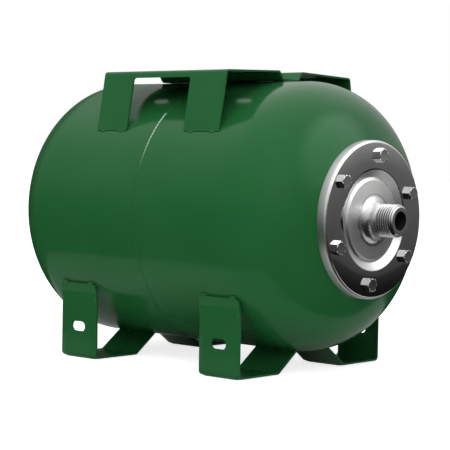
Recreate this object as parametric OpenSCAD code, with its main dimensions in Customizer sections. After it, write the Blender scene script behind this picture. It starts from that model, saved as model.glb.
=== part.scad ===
// Horizontal pressure tank with a rubber bladder, four folded feet and a pump platform.
// X runs along the tank towards the connection flange, Y across it and Z up.
// The origin is on the floor, under the middle of the whole length.

/* [Shell] */
// Outside diameter of the shell
shell_d = 280; // [260:1:300]
// Sheet thickness of the shell
shell_wall = 1.5; // [1.2:0.1:2.5]
// Length of the straight part of the shell
barrel_l = 255.5; // [245:0.5:300]
// Distance of the girth weld from the flange end of the straight part
seam_offset = 116; // [105:1:130]
// Radius of the knuckle at the flange end
front_knuckle_r = 75; // [65:1:85]
// Radius of the crown at the flange end
front_crown_r = 215; // [200:1:240]
// Radius of the knuckle at the valve end
rear_knuckle_r = 60; // [50:1:70]
// Radius of the crown at the valve end
rear_crown_r = 183; // [170:1:200]
// Gap below the shell
ground_gap = 20.4; // [12:0.4:30]
// Width of the girth weld bead
girth_w = 4.4; // [3:0.2:6]
// Height of the girth weld bead
girth_h = 0.9; // [0.5:0.1:1.5]

/* [Opening] */
// Depth of the seat behind the flange face
seat_depth = 6; // [5.5:0.1:6.5]
// Height of the seat over the shell beside it
seat_rise = 3.1; // [2.5:0.1:3.5]
// Thickness of the ring behind the seat
ring_t = 4; // [3:0.5:5]
// Gap between the seat and the rim of the flange
rim_gap = 1; // [0.6:0.1:2]
// Gap between the ring and the wall of the seat
ring_gap = 2; // [1:0.1:3]
// Gap between the opening and the recess that reaches into it
opening_gap = 0.7; // [0.5:0.1:1.5]

/* [Flange] */
// Outside diameter of the flange
flange_d = 160; // [158.5:0.5:170]
// Sheet thickness of the flange
flange_t = 2.5; // [2:0.1:2.8]
// Radius of the outer corner of the flange
flange_corner_r = 2.8; // [2.8:0.1:4]
// Width of the flat face between the rim and the recess
face_w = 28.7; // [26:0.1:31]
// Depth of the recess
recess_depth = 4.4; // [4:0.1:5]
// Width of the slope of the recess
slope_w = 8.4; // [7:0.1:10]
// Width of the groove at the foot of the inner dome
groove_w = 2.4; // [2:0.1:4]
// Depth of that shoulder below the flange face
dome_depth = 2.2; // [1.8:0.1:2.6]
// Height of the inner dome at the hole over the flange face
dome_rise = 0.5; // [0.3:0.1:1]

/* [Bolts] */
// Number of flange bolts
bolt_n = 6; // [6:1:6]
// Distance of the bolts from the edge of the flange
bolt_inset = 14.7; // [14:0.1:16]
// Thread diameter of the bolts
bolt_d = 8; // [7:0.5:8.5]
// Width of the bolt heads across flats
head_af = 13; // [12:0.5:13.5]
// Height of the bolt heads
head_h = 5.3; // [4:0.1:6.5]
// Length of the bolts under the head
bolt_l = 20; // [18:1:25]
// Height of the nuts behind the ring
nut_h = 6.5; // [5:0.5:8]
// Angle of the first bolt round the flange
bolt_start = 23.7; // [0:0.1:60]

/* [Nipple] */
// Outside diameter of the pipe thread
nipple_d = 33.2; // [33:0.05:33.5]
// Bore of the nipple
nipple_bore = 19.2; // [17:0.1:22]
// Reach of the nipple in front of the flange face
nipple_reach = 32; // [28:0.5:40]
// Radius of the fillet at the foot of the nipple
nipple_fillet = 5.5; // [4:0.1:6.5]
// Width of the toe of the foot beyond its fillet
toe_w = 0.5; // [0.3:0.1:1]
// Thickness of the toe of the foot
toe_t = 0.3; // [0.2:0.05:0.5]
// Diameter of the shank behind the foot
shank_d = 28.8; // [27:0.2:29.4]
// Length of the shank behind the flange face
shank_l = 8; // [7:0.5:12]
// Leg of the weld behind the nipple
weld_leg = 4; // [3:0.2:5]
// Chamfer at the mouth of the nipple
nipple_chamfer = 1.6; // [1:0.1:2]

/* [Bladder] */
// Wall of the bladder
bladder_wall = 2.5; // [2:0.1:3]
// Diameter of the bladder at its widest
bladder_d = 226; // [200:2:240]
// Gap between the end of the bladder and the domed end
tail_gap = 46; // [30:1:80]
// Gap between the clamped collar and the bolts
collar_gap = 2.3; // [1:0.1:4]
// Radius where the neck of the bladder widens
bladder_neck_r = 20; // [12:1:30]
// Radius of the shoulder of the bladder
bladder_shoulder_r = 80; // [60:1:90]
// Radius of the tail of the bladder
bladder_tail_r = 55; // [40:1:70]
// Length of the neck of the bladder
neck_l = 22; // [18:1:30]

/* [Air valve] */
// Diameter of the welded boss
boss_d = 20; // [18:0.5:24]
// Height of the boss outside the shell
boss_h = 5; // [4:0.5:8]
// Diameter of the valve thread
valve_d = 7.7; // [7.5:0.1:8]
// Reach of the valve stem beyond its hexagon
valve_reach = 9; // [8:0.5:12]
// Wall of the valve stem
stem_wall = 1.3; // [1.1:0.1:1.5]
// Width of the stem's hexagon across flats
valve_af = 14; // [12:0.5:15]
// Height of the stem's hexagon
valve_hex_h = 4; // [3:0.5:6]
// Thickness of the seal under the hexagon
seal_t = 1.5; // [1:0.1:2]
// Wall of the side of the protective cap
cap_side = 3.3; // [2.5:0.1:4]
// Wall of the end of the protective cap
cap_wall = 2; // [1.5:0.1:2.5]

/* [Feet] */
// Distance between the outer plates of opposite feet
foot_spread = 232; // [228:1:236]
// Distance between the middles of the two pairs of feet
foot_pitch = 204; // [195:1:210]
// Distance of the flange pair from the flange face
foot_offset = 103.2; // [100:0.2:108]
// Width of a foot
foot_w = 54; // [50:0.5:60]
// Sheet thickness of the feet
foot_t = 2; // [1.5:0.1:2.5]
// Width of the sole of a foot
sole_w = 63; // [58:1:66]
// Rise angle of the inner brace
brace_angle = 36.5; // [34:0.5:45]
// Inside radius of the folds of a foot
foot_bend = 4; // [3:0.5:6]
// Height of the lip that lies on the shell
lip_h = 10.4; // [8:0.2:12]
// Lean of the lip
lip_lean = 13; // [10:0.5:18]
// Radius of the upper corners of the lip
lip_corner_r = 6; // [3:0.5:8]
// Width of the flat middle of a foot between its edge creases
flat_w = 40; // [36:1:44]
// Angle of the folded edges
crease_angle = 9; // [6:1:14]
// Length of the mounting slot
slot_l = 20; // [16:0.5:24]
// Width of the mounting slot
slot_w = 10.4; // [8.8:0.2:11.2]
// Height of the slot's middle over the floor
slot_height = 34.6; // [30:0.1:38]
// Diameter of the drain hole in the lower fold
drain_d = 5; // [4:0.5:6]

/* [Pump platform] */
// Length of the platform
deck_l = 174.4; // [165:0.2:185]
// Distance of the platform's end from the flange face
deck_offset = 112.2; // [105:0.2:120]
// Distance between the upper edges of the platform
deck_w = 202; // [196:1:206]
// Sheet thickness of the platform
deck_t = 2; // [1.5:0.1:2.5]
// Height of the deck over the shell beside the trough
deck_rise = 10.8; // [9:0.1:13]
// Fall of the deck from the trough to its edge
deck_fall = 2.7; // [2:0.1:3.5]
// Width of the trough's bottom
trough_w = 24; // [20:0.5:28]
// Width of the trough at deck level
trough_top_w = 36; // [32:0.5:40]
// Lean of the side plates
leg_lean = 9.7; // [8:0.1:11]
// Inside radius of the platform's folds
deck_bend = 2; // [1.5:0.1:3]
// Width of the legs at the valve end
rear_leg_w = 44; // [38:0.5:50]
// Width of the legs at the flange end
front_leg_w = 48.3; // [42:0.5:54]
// Depth of the side band over the window
band_h = 7; // [6:0.1:9]
// Radius of the window's corners
window_r = 3; // [2:0.5:5]
// Distance between the pump slots along the tank
pump_pitch_x = 120; // [110:1:126]
// Distance between the pump slots across the tank
pump_pitch_y = 124; // [112:1:136]
// Length of a pump slot
pump_slot_l = 22; // [18:0.5:26]
// Width of a pump slot
pump_slot_w = 9; // [8:0.5:10]

/* [Welds] */
// Radius of a weld bead
bead_r = 2.6; // [2.2:0.1:3]
// Rise of a tack over the edge that it holds
tack_rise = 0.8; // [0.5:0.1:1.2]
// Distance of the middle of the first stitch from the end of the platform
stitch_offset = 31.8; // [28:0.2:36]
// Gap between the long stitch and the girth weld
stitch_gap = 0.6; // [0.5:0.1:4]
// Length of the short stitch
short_stitch = 6.4; // [5.6:0.2:8]
// Length of the long stitch
long_stitch = 17; // [14:0.5:20]
// Length of a tack weld
tack_l = 8; // [6:0.5:10]

/* [Hidden] */
$fn = 96;

paint_green = [0.12, 0.34, 0.18];
zinc_grey = [0.62, 0.64, 0.66];
steel_grey = [0.45, 0.46, 0.48];
rubber_black = [0.08, 0.08, 0.08];
brass_gold = [0.78, 0.62, 0.28];
plastic_black = [0.05, 0.05, 0.06];

// Clearance between pieces that seat on a curved face
fit = 0.3;
// Clearance round what passes through a hole
slip = 0.2;
// Gap between a weld bead and the faces that it lies on
touch = 0.05;
// Overshoot of cutting shapes
over = 1;
bend_steps = 8;
// Radius of the pressed edges of the flange
press_r = 3;
// Radius of the groove at the foot of the inner dome
groove_r = 0.8;

shell_r = shell_d / 2;
seat_x = -seat_depth;
seat_d = flange_d - 2 * (flange_t + rim_gap);
front_crown_x = seat_x - seat_rise - sqrt(pow(front_crown_r, 2) - pow(seat_d / 2, 2));
front_tangent = front_crown_x + crown_back(shell_r, front_knuckle_r, front_crown_r);
rear_tangent = front_tangent - barrel_l;
seam_x = front_tangent - seam_offset;
rear_apex = rear_tangent - dome_height(shell_r, rear_knuckle_r, rear_crown_r);

seat_back_x = seat_x - shell_wall;
ring_back_x = seat_back_x - ring_t;
ring_d = seat_d - 2 * (shell_wall + ring_gap);
recess_d = flange_d - 2 * face_w;
groove_d = recess_d - 2 * slope_w;
dome_d = groove_d - 2 * groove_w;
opening_d = recess_d + 2 * opening_gap;
bolt_circle_d = flange_d - 2 * bolt_inset;
collar_d = bolt_circle_d - bolt_d - 2 * collar_gap;
bladder_l = -rear_apex - tail_gap;
cap_d = boss_d + 2 * (slip + cap_side);

boss_end = boss_h;
hex_start = boss_end + seal_t;
hex_end = hex_start + valve_hex_h;
stem_end = hex_end + valve_reach;
stem_bore = valve_d - 2 * stem_wall;
cap_inside_h = stem_end + cap_wall;
cap_end = cap_inside_h + cap_wall;

axis_z = shell_r + ground_gap;
face_x = (cap_end - rear_apex - nipple_reach) / 2;

foot_outside = foot_spread / 2;
lip_root_u = foot_outside - foot_t;
lip_top_u = lip_root_u + lip_h * tan(lip_lean);
lip_top_z = -sqrt(pow(shell_r + fit, 2) - pow(lip_top_u, 2));
lip_root_z = lip_top_z - lip_h;

foot_path = [[foot_outside, 0],
             [foot_outside, -axis_z],
             [foot_outside - sole_w, -axis_z],
             [0, -axis_z + (foot_outside - sole_w) * tan(brace_angle)]];
foot_radii = [0, foot_bend + foot_t, foot_bend + foot_t, 0];

deck_edge = deck_w / 2;
deck_mid_x = -deck_offset - deck_l / 2;
deck_z = shell_r + deck_rise;
leg_down = [sin(leg_lean), -cos(leg_lean)];
leg_out = [cos(leg_lean), sin(leg_lean)];
leg_top = [deck_edge, deck_z - deck_fall];
// How far the outer corner of a leg reaches past the first touch
leg_bite = 2;
leg_end = leg_top + leg_down * (hit(leg_top - leg_out * deck_t, leg_down, shell_r + fit) + leg_bite);
deck_half = [[trough_w / 2, shell_r + fit + deck_t], [trough_top_w / 2, deck_z], leg_top, leg_end];

// Distance of a crown's centre behind the tangent line
function crown_back(r, knuckle, crown) = sqrt(pow(crown - knuckle, 2) - pow(r - knuckle, 2));
// Height of a domed end over the tangent line
function dome_height(r, knuckle, crown) = crown - crown_back(r, knuckle, crown);

// Way along a line, from a point outside a circle, to its first crossing
function hit(p, d, r) = -p * d - sqrt(pow(p * d, 2) - p * p + r * r);

function unit(v) = v / norm(v);
function right_of(v) = [v[1], -v[0]];
function heading(pts, i) = unit(pts[i + 1] - pts[i]);
function reversed(pts) = [for (i = [len(pts) - 1 : -1 : 0]) pts[i]];
function turn(pts, i) =
    i == 0 || i == len(pts) - 1 ? 0 : sign(cross(heading(pts, i - 1), heading(pts, i)));

// The same path moved to its right by a distance
function shifted(pts, d) = [
    for (i = [0 : len(pts) - 1])
        let (a = right_of(heading(pts, max(i - 1, 0))),
             b = right_of(heading(pts, min(i, len(pts) - 2))))
        pts[i] + d * (a + b) / (1 + a * b)
];

// Points of the arc that rounds the corner p between a and b
function fillet(a, p, b, r) =
    let (u = unit(a - p),
         v = unit(b - p),
         half = acos(u * v) / 2,
         c = p + unit(u + v) * r / sin(half),
         from = p + u * r / tan(half) - c,
         side = sign(cross(p - a, b - p)),
         sweep = 180 - 2 * half)
    [for (k = [0 : bend_steps])
        let (t = side * sweep * k / bend_steps)
        c + [from[0] * cos(t) - from[1] * sin(t), from[0] * sin(t) + from[1] * cos(t)]];

// A path with its corners rounded
function rounded(pts, radii) = [
    for (i = [0 : len(pts) - 1])
        each i == 0 || i == len(pts) - 1 || radii[i] <= 0
            ? [pts[i]]
            : fillet(pts[i - 1], pts[i], pts[i + 1], radii[i])
];

// Section of a sheet whose outer face follows a path and whose metal lies to the right of it
function sheet(pts, radii, t) = concat(
    rounded(pts, radii),
    reversed(rounded(shifted(pts, t), [for (i = [0 : len(pts) - 1]) radii[i] + t * turn(pts, i)])));

// Moves to the axis of the tank, with X = 0 on the flange face
module on_axis() translate([face_x, 0, axis_z]) children();

// Turns a section drawn as radius and X position round the axis of the tank
module turned() rotate([0, 90, 0]) rotate_extrude() children();

// Places a child on the middle of the domed end at the valve side, with +Z pointing away
module at_valve() on_axis() translate([rear_apex, 0, 0]) rotate([0, -90, 0]) children();

// Half section of a solid tank with domed ends, smaller by an inset all round
module dome_section(tangent, knuckle, crown, side, inset) {
    crown_x = tangent - side * crown_back(shell_r, knuckle, crown);
    reach = 2 * shell_r;
    knuckle_at = [shell_r - knuckle, tangent];
    crown_at = [0, crown_x];
    edge = knuckle_at + reach * unit(knuckle_at - crown_at);
    translate(knuckle_at) circle(r = knuckle - inset);
    intersection() {
        translate(crown_at) circle(r = crown - inset);
        polygon([crown_at, edge, [0, edge[1]]]);
    }
}

module tank_section(inset) {
    intersection() {
        union() {
            translate([0, rear_tangent]) square([shell_r - inset, barrel_l]);
            dome_section(front_tangent, front_knuckle_r, front_crown_r, 1, inset);
            dome_section(rear_tangent, rear_knuckle_r, rear_crown_r, -1, inset);
        }
        translate([0, rear_apex]) square([shell_r, -rear_apex + seat_depth * 4]);
    }
}

module seat_section(inset) {
    translate([0, -front_knuckle_r]) square([seat_d / 2 - inset, front_knuckle_r + seat_x - inset]);
}

module crown_stop() {
    translate([0, seat_x]) square([seat_d / 2, 4 * seat_depth]);
}

module shell_front() {
    color(paint_green) difference() {
        on_axis() turned() difference() {
            union() {
                difference() {
                    tank_section(0);
                    crown_stop();
                }
                seat_section(0);
            }
            difference() {
                tank_section(shell_wall);
                translate([0, -shell_wall]) crown_stop();
            }
            seat_section(shell_wall);
            translate([0, rear_apex - over]) square([shell_r + over, seam_x - rear_apex + over]);
            translate([0, -front_knuckle_r - over])
                square([opening_d / 2, front_knuckle_r + 2 * over]);
        }
        bolt_holes(seat_back_x - over, seat_x + over);
    }
}

module shell_rear() {
    color(paint_green) on_axis() turned() difference() {
        tank_section(0);
        tank_section(shell_wall);
        translate([0, seam_x]) square([shell_r + over, -seam_x + 5 * seat_depth]);
        translate([0, rear_apex - over]) square([boss_d / 2 + slip, rear_knuckle_r]);
    }
}

module girth_weld() {
    bead = (pow(girth_w / 2, 2) + pow(girth_h, 2)) / (2 * girth_h);
    color(paint_green) on_axis() turned() intersection() {
        translate([shell_r + girth_h - bead, seam_x]) circle(r = bead);
        translate([shell_r, seam_x - girth_w]) square([girth_w, 2 * girth_w]);
    }
}

// Places a child on each bolt axis, with +Z pointing out of the flange
module each_bolt() {
    // Two heads stand half a flat further round than the others
    head_turn = [0, 30, 0, 30, 0, 0];
    rotate([0, 90, 0])
        for (i = [0 : bolt_n - 1])
            rotate(bolt_start + 90 + i * 360 / bolt_n) translate([bolt_circle_d / 2, 0, 0])
                rotate(head_turn[i] - bolt_start - i * 360 / bolt_n) children();
}

module bolt_holes(back, front) {
    on_axis() each_bolt() translate([0, 0, back]) cylinder(d = bolt_d + 2 * slip, h = front - back);
}

module counter_ring() {
    color(steel_grey) difference() {
        on_axis() turned() translate([opening_d / 2 + over, ring_back_x])
            square([(ring_d - opening_d) / 2 - over, ring_t]);
        bolt_holes(ring_back_x - over, seat_back_x + over);
    }
}

module hexagon(af, h) cylinder(d = af / cos(30), h = h, $fn = 6);

module weld_nuts() {
    color(steel_grey) on_axis() each_bolt() translate([0, 0, ring_back_x - nut_h]) difference() {
        hexagon(head_af, nut_h);
        translate([0, 0, -over]) cylinder(d = bolt_d + 2 * slip, h = nut_h + 2 * over);
    }
}

module flange_bolts() {
    top_r = head_af / 2 - slip;
    color(zinc_grey) on_axis() each_bolt() {
        intersection() {
            hexagon(head_af, head_h);
            cylinder(r1 = top_r + head_h / tan(30), r2 = top_r, h = head_h);
        }
        translate([0, 0, -bolt_l]) cylinder(d = bolt_d, h = bolt_l);
    }
}

// Front face of the flange, from the hole in the middle to the back of its rim
flange_path = [
    [shank_d / 2 + slip, dome_rise],
    [dome_d / 2, -dome_depth],
    [groove_d / 2, -recess_depth],
    [recess_d / 2, 0],
    [flange_d / 2, 0],
    [flange_d / 2, -seat_depth * 3]
];
flange_radii = [0, press_r, groove_r, press_r, flange_corner_r, 0];

module flange_plate() {
    color(zinc_grey) difference() {
        on_axis() turned() difference() {
            polygon(sheet(flange_path, flange_radii, flange_t));
            intersection() {
                translate([0, front_crown_x]) circle(r = front_crown_r + fit);
                translate([seat_d / 2, -seat_depth * 4]) square(seat_depth * 4);
            }
        }
        bolt_holes(-flange_t - over, over);
    }
}

module nipple() {
    r = nipple_d / 2;
    foot = flange_path[0];
    slope = heading(flange_path, 0);
    toe = foot + slope * (r + nipple_fillet + toe_w - foot[0]) / slope[0];
    color(zinc_grey) on_axis() turned() polygon(concat(
        [[nipple_bore / 2, -shank_l],
         [shank_d / 2, -shank_l],
         [shank_d / 2, foot[1] + slope[1] / slope[0] * -slip],
         toe,
         toe + [0, toe_t]],
        fillet(toe + [0, toe_t], [r, foot[1] + toe_t], [r, nipple_reach], nipple_fillet),
        [[r, nipple_reach - nipple_chamfer],
         [r - nipple_chamfer, nipple_reach],
         [nipple_bore / 2 + nipple_chamfer / 2, nipple_reach],
         [nipple_bore / 2, nipple_reach - nipple_chamfer / 2]]));
}

module nipple_weld() {
    back = shifted(flange_path, flange_t);
    slope = heading(flange_path, 0);
    root = back[0] + slope * (shank_d / 2 - back[0][0]) / slope[0];
    color(steel_grey) on_axis() turned()
        polygon([root, root - [0, weld_leg], root + slope * weld_leg / slope[0]]);
}

module bladder() {
    neck_r = opening_d / 2 - 2 * fit;
    belly_r = bladder_d / 2;
    path = [
        [neck_r, seat_x],
        [neck_r, -neck_l],
        [belly_r, -neck_l - bladder_shoulder_r],
        [belly_r, -bladder_l + bladder_tail_r],
        [bladder_tail_r, -bladder_l],
        [0, -bladder_l]
    ];
    radii = [0, bladder_neck_r, bladder_shoulder_r, bladder_tail_r, bladder_tail_r, 0];
    // The inner edge of the collar follows the back of the recess
    edge = shifted(flange_path, flange_t + fit)[3];
    slope = heading(flange_path, 2);
    bore_r = neck_r - bladder_wall;
    color(rubber_black) on_axis() turned() {
        polygon(sheet(path, radii, bladder_wall));
        polygon([[bore_r, seat_x - over],
                 [bore_r, edge[1] - (edge[0] - bore_r) * slope[1] / slope[0]],
                 edge,
                 [edge[0] + 2 * fit, -flange_t],
                 [collar_d / 2, -flange_t],
                 [collar_d / 2, seat_x],
                 [neck_r, seat_x],
                 [neck_r, seat_x - over]]);
    }
}

module valve_boss() {
    color(paint_green) at_valve() difference() {
        translate([0, 0, -2 * shell_wall]) cylinder(d = boss_d, h = boss_end + 2 * shell_wall);
        translate([0, 0, -over - 2 * shell_wall])
            cylinder(d = boss_d / 2 + 2 * slip, h = boss_end + 2 * shell_wall + 2 * over);
    }
}

module valve_seal() {
    color(rubber_black) at_valve() translate([0, 0, boss_end]) difference() {
        cylinder(d = valve_af, h = seal_t);
        translate([0, 0, -over]) cylinder(d = boss_d / 2 + 2 * slip, h = seal_t + 2 * over);
    }
}

module valve_stem() {
    tail = boss_end + shell_wall;
    color(brass_gold) at_valve() difference() {
        union() {
            translate([0, 0, hex_start - tail - seal_t]) cylinder(d = boss_d / 2, h = tail + seal_t);
            translate([0, 0, hex_start]) hexagon(valve_af, valve_hex_h);
            translate([0, 0, hex_end]) cylinder(d = valve_d, h = valve_reach);
        }
        translate([0, 0, -tail - over]) cylinder(d = stem_bore, h = stem_end + tail + 2 * over);
    }
}

module valve_core() {
    depth = 1.5;
    pin_d = 1.6;
    pin_h = 1;
    color(brass_gold) at_valve() {
        translate([0, 0, hex_start])
            cylinder(d = stem_bore - 2 * slip, h = stem_end - hex_start - depth);
        translate([0, 0, stem_end - depth]) cylinder(d = pin_d, h = pin_h);
    }
}

module valve_cap() {
    flute_n = 20;
    flute_r = 1.1;
    flute_depth = 0.5;
    rim_z = 1.2;
    color(plastic_black) at_valve() difference() {
        intersection() {
            translate([0, 0, rim_z]) cylinder(d = cap_d, h = cap_end - rim_z);
            translate([0, 0, cap_end - 2 * cap_d]) sphere(r = 2 * cap_d);
        }
        translate([0, 0, -over]) cylinder(d = boss_d + 2 * slip, h = cap_inside_h + over);
        for (i = [0 : flute_n - 1])
            rotate(i * 360 / flute_n) translate([cap_d / 2 + flute_r - flute_depth, 0, -over])
                cylinder(r = flute_r, h = cap_end + 2 * over, $fn = 24);
    }
}

function mirrored(pts) = [for (p = reversed(pts)) [-p[0], p[1]]];

// Outline across one face of a foot with its two edges folded, smaller by an inset
module edge_outline(half, inset) {
    far = 2 * shell_d;
    shoulder = flat_w / 2 - inset * tan(crease_angle / 2);
    drop = inset + (half - shoulder) * tan(crease_angle);
    polygon([[-half, -far], [-half, -drop], [-shoulder, -inset],
             [shoulder, -inset], [half, -drop], [half, -far]]);
}

// Half space behind a face that passes through a point and rises inwards at an angle
module behind(point, angle) {
    translate([0, point[0], point[1]]) rotate([-90 - angle, 0, 0])
        linear_extrude(2 * shell_d, center = true) children();
}

// Everything inside the outer skin of a foot, smaller by an inset. Y runs outwards from the axis
module foot_inside(inset, half) {
    fade_angle = 30;
    fade_gap = 1;
    fade_z = lip_root_z - foot_bend - foot_t - fade_gap;
    wide = half + over;
    section = rounded(shifted(foot_path, inset), foot_radii - [0, inset, inset, 0]);
    intersection() {
        rotate([90, 0, 90]) linear_extrude(2 * half, center = true)
            polygon(concat([[0, 0]], section));
        union() {
            behind([foot_outside, 0], -90) edge_outline(wide, inset);
            intersection() {
                behind([foot_outside, 0], -90) plain_outline(wide, inset);
                behind([foot_outside, fade_z], fade_angle - 90) plain_outline(wide, inset);
            }
        }
        behind([0, -axis_z], 0) edge_outline(wide, inset);
        behind([foot_outside - sole_w, -axis_z], brace_angle) edge_outline(wide, inset);
    }
}

module plain_outline(half, inset) {
    translate([-half, -inset - 2 * shell_d]) square([2 * half, 2 * shell_d]);
}

module obround(length, width) {
    for (s = [-1, 1]) translate([s * (length - width) / 2, 0]) circle(d = width);
    square([length - width, width], center = true);
}

module foot_body() {
    lip_face = shifted([[lip_top_u, lip_top_z], [lip_root_u, lip_root_z],
                        [lip_root_u, lip_root_z - foot_bend - foot_t]], -foot_t);
    half = foot_w / 2;
    lip_outline = rounded([[-half, lip_root_z], [-half, lip_top_z + foot_t],
                           [half, lip_top_z + foot_t], [half, lip_root_z]],
                          [0, lip_corner_r, lip_corner_r, 0]);
    difference() {
        union() {
            difference() {
                foot_inside(0, half);
                foot_inside(foot_t, half + over);
                translate([-half - over, -over, lip_root_z - foot_bend - foot_t])
                    cube([foot_w + 2 * over, foot_spread, shell_d]);
            }
            rotate([90, 0, 90]) linear_extrude(foot_w, center = true)
                polygon(sheet(lip_face, [0, foot_bend + foot_t, 0], foot_t));
        }
        rotate([90, 0, 0]) mirror([0, 0, 1]) linear_extrude(foot_spread) difference() {
            translate([-half - over, lip_root_z]) square([foot_w + 2 * over, shell_r]);
            polygon(lip_outline);
        }
        translate([0, 0, slot_height - axis_z]) rotate([90, 0, 0]) mirror([0, 0, 1])
            translate([0, 0, foot_outside - 2 * foot_t]) linear_extrude(3 * foot_t)
                obround(slot_l, slot_w);
        translate([0, foot_outside - 3 * foot_t, drain_d / 2 + foot_t / 2 - axis_z])
            rotate([-90, 0, 0]) cylinder(d = drain_d, h = 4 * foot_t);
        rotate([0, 90, 0]) cylinder(r = shell_r + fit, h = 2 * foot_w, center = true);
    }
}

foot_x = [-foot_offset, -foot_offset - foot_pitch];

module foot(place, side) {
    color(paint_green) on_axis() translate([foot_x[place], 0, 0])
        mirror([0, side < 0 ? 1 : 0, 0]) foot_body();
}

module deck_section() {
    radii = [deck_bend, deck_bend + deck_t, deck_bend + deck_t, 0];
    polygon(sheet(concat(mirrored(deck_half), deck_half), concat(reversed(radii), radii), deck_t));
}

module pump_platform() {
    low = 0;
    window_x = [-deck_offset - deck_l + rear_leg_w, -deck_offset - front_leg_w];
    window_z = leg_top[1] - band_h;
    window = rounded([[window_x[0], low], [window_x[0], window_z],
                      [window_x[1], window_z], [window_x[1], low]], [0, window_r, window_r, 0]);
    color(paint_green) on_axis() difference() {
        translate([deck_mid_x, 0, 0]) rotate([90, 0, 90]) linear_extrude(deck_l, center = true)
            deck_section();
        for (s = [0, 1])
            mirror([0, s, 0]) translate([0, deck_edge - 4 * deck_t, 0])
                rotate([90, 0, 0]) mirror([0, 0, 1]) linear_extrude(deck_w) polygon(window);
        for (x = [-1, 1], y = [-1, 1])
            translate([deck_mid_x + x * pump_pitch_x / 2, y * pump_pitch_y / 2, shell_r])
                linear_extrude(2 * deck_rise) obround(pump_slot_l, pump_slot_w);
        translate([deck_mid_x, 0, 0]) rotate([0, 90, 0])
            cylinder(r = shell_r + fit, h = 2 * deck_l, center = true);
        // Relief in the trough over the girth weld
        translate([seam_x, 0, 0]) rotate([0, 90, 0])
            cylinder(r = shell_r + girth_h + fit, h = girth_w + 2 * fit, center = true);
    }
}

// Weld bead along X with round ends
module bead(length) {
    rotate([0, 90, 0]) rotate_extrude($fn = 48) intersection() {
        union() {
            for (s = [-1, 1]) translate([0, s * (length / 2 - bead_r)]) circle(r = bead_r);
            square([2 * bead_r, length - 2 * bead_r], center = true);
        }
        translate([0, -length]) square(2 * length);
    }
}

// Tack on the end of a sheet: the sheet's inner face is at Y = 0 and it ends at Z = 0
module edge_tack(t) {
    difference() {
        translate([0, t / 2, tack_rise]) bead(tack_l);
        translate([-4 * bead_r, -2 * bead_r, -3 * bead_r + touch])
            cube([8 * bead_r, t + 2 * bead_r + touch, 3 * bead_r]);
    }
}

module shell_space(length) {
    rotate([0, 90, 0]) cylinder(r = shell_r + touch, h = length, center = true, $fn = 360);
}

module foot_tacks() {
    tack_x = foot_w / 2 - lip_corner_r - tack_l / 4;
    brace_down = [-cos(brace_angle), sin(brace_angle)];
    brace_in = shifted(foot_path, foot_t)[2];
    brace_end = brace_in + brace_down * hit(brace_in, brace_down, shell_r + fit);
    difference() {
        for (s = [-1, 1]) {
            translate([s * tack_x, lip_top_u, lip_top_z]) rotate([-lip_lean, 0, 0])
                edge_tack(foot_t);
            translate([s * flat_w / 4, brace_end[0], brace_end[1]])
                rotate([-brace_angle, 0, 0]) difference() {
                    bead(tack_l);
                    translate([-4 * bead_r, -8 * bead_r, -4 * bead_r + touch])
                        cube([8 * bead_r, 16 * bead_r, 4 * bead_r]);
                }
        }
        shell_space(foot_w);
    }
}

module foot_welds() {
    color(paint_green) on_axis()
        for (x = foot_x, s = [0, 1]) translate([x, 0, 0]) mirror([0, s, 0]) foot_tacks();
}

module platform_welds() {
    stitch_x = [-deck_offset - stitch_offset,
                seam_x + (girth_w + long_stitch) / 2 + stitch_gap];
    stitch_l = [short_stitch, long_stitch];
    leg_x = [-deck_offset - front_leg_w / 2, -deck_offset - deck_l + rear_leg_w / 2];
    leg_w = [front_leg_w, rear_leg_w];
    // Place of the tacks from the middle of a leg, as a share of its width
    tack_share = 0.3;
    // How far the middle of a stitch lies outside the trough, as a share of the bead's radius
    stitch_share = 0.6;
    inner = leg_end - leg_out * deck_t;
    color(paint_green) on_axis() for (side = [0, 1]) mirror([0, side, 0]) difference() {
        union() {
            for (i = [0, 1], s = [-1, 1])
                translate([leg_x[i] + s * leg_w[i] * tack_share, inner[0], inner[1]])
                    rotate([leg_lean, 0, 0]) mirror([0, 0, 1]) edge_tack(deck_t);
            for (i = [0, 1])
                translate([stitch_x[i], trough_w / 2 + bead_r * stitch_share, shell_r])
                    bead(stitch_l[i]);
        }
        translate([deck_mid_x, 0, 0]) shell_space(2 * deck_l);
        translate([deck_mid_x, 0, 0]) rotate([90, 0, 90]) linear_extrude(deck_l, center = true)
            deck_section();
    }
}

shell_rear();
shell_front();
girth_weld();
counter_ring();
weld_nuts();
flange_plate();
nipple();
nipple_weld();
flange_bolts();
bladder();
valve_boss();
valve_seal();
valve_stem();
valve_core();
valve_cap();
foot(0, 1);  // foot_flange_left
foot(0, -1);  // foot_flange_right
foot(1, 1);  // foot_valve_left
foot(1, -1);  // foot_valve_right
pump_platform();
foot_welds();
platform_welds();
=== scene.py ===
# %% [markdown]
# # A horizontal pressure tank
# A pump draws on this steel tank so that it need not start at every tap. A rubber bladder inside
# holds the water and air presses on it. The CAD model gives every size. This lesson dresses it:
# round parts are turned from a profile, folded parts are lofted sheets, and what repeats, such
# as bolts, thread and weld beads, comes from Geometry Nodes.

# %% Load the frame
import cmath
import math

import bmesh
import bpy
from mathutils import Matrix, Vector


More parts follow.
